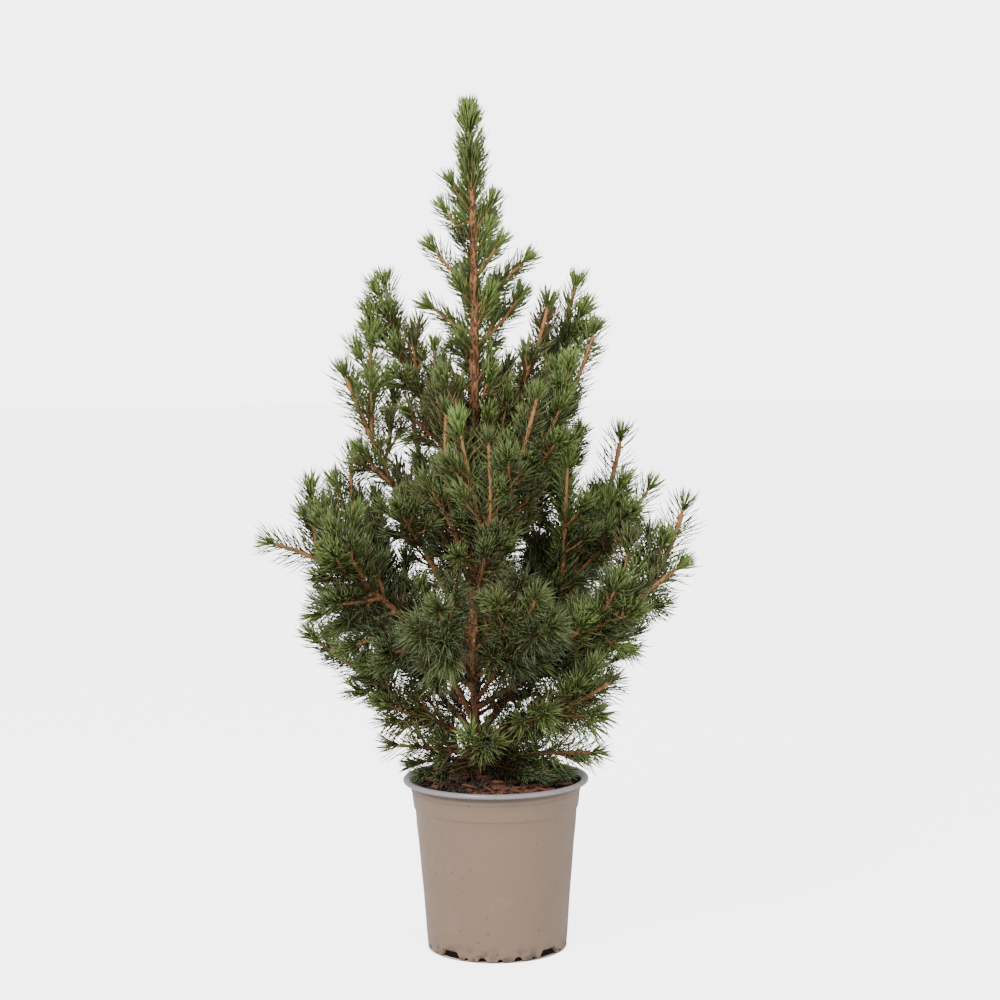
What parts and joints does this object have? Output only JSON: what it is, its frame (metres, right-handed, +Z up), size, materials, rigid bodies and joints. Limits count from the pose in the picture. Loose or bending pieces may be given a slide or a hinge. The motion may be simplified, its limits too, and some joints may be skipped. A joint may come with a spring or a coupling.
{
  "type": "potted alberta spruce",
  "caption": "Young dwarf conical spruce with a slender bare stem, rising boughs and dense green needles, growing in a round tapered nursery pot full of dark soil.",
  "frame": {"origin": "centre of the pot's flat underside", "axes": "+Z up along the pot's axis, towards the top of the leader; +X to the plant's right as seen from its front; -Y is its front"},
  "size_m": [0.2993, 0.2391, 0.592],
  "materials": {
    "pot_plastic": "satin",
    "potting_soil": "matte",
    "bark": "matte",
    "needles": "matte",
    "needles_young": "matte"
  },
  "bodies": {
    "root": {"bough_low_back": "bark", "bough_low_back_left": "bark", "bough_low_back_right": "bark", "bough_low_front_left": "bark", "bough_low_front_right": "bark", "bough_low_left": "bark", "bough_low_right": "bark", "bough_low_right_inner": "bark", "bough_low_right_outer": "bark", "bough_middle_left": "bark", "bough_middle_left_upper": "bark", "bough_middle_right": "bark", "bough_middle_right_rear": "bark", "bough_upper_left": "bark", "bough_upper_right": "bark", "bough_upper_right_outer": "bark", "foliage_crown_left": "needles_young", "foliage_crown_left_high": "needles_young", "foliage_crown_left_low": "needles_young", "foliage_crown_left_spur": "needles_young", "foliage_crown_right": "needles_young", "foliage_crown_right_high": "needles_young", "foliage_crown_right_low": "needles_young", "foliage_crown_right_spur": "needles_young", "foliage_foot_front": "needles_young", "foliage_foot_left": "needles_young", "foliage_foot_left_low": "needles_young", "foliage_foot_right": "needles_young", "foliage_foot_right_low": "needles_young", "foliage_leader": "needles_young", "foliage_low_back": "needles", "foliage_low_back_left": "needles", "foliage_low_back_right": "needles", "foliage_low_front_left": "needles", "foliage_low_front_right": "needles", "foliage_low_left": "needles", "foliage_low_left_under": "needles", "foliage_low_right": "needles", "foliage_low_right_inner": "needles", "foliage_low_right_outer": "needles", "foliage_low_right_under": "needles", "foliage_middle_back_left": "needles", "foliage_middle_back_right": "needles", "foliage_middle_front": "needles", "foliage_middle_front_left": "needles", "foliage_middle_front_right": "needles", "foliage_middle_left": "needles", "foliage_middle_left_upper": "needles", "foliage_middle_right": "needles", "foliage_middle_right_rear": "needles", "foliage_upper_back": "needles", "foliage_upper_left": "needles", "foliage_upper_left_inner": "needles", "foliage_upper_right": "needles", "foliage_upper_right_inner": "needles", "foliage_upper_right_outer": "needles", "pot": "pot_plastic", "soil": "potting_soil", "trunk": "bark"}
  },
  "joints": []
}
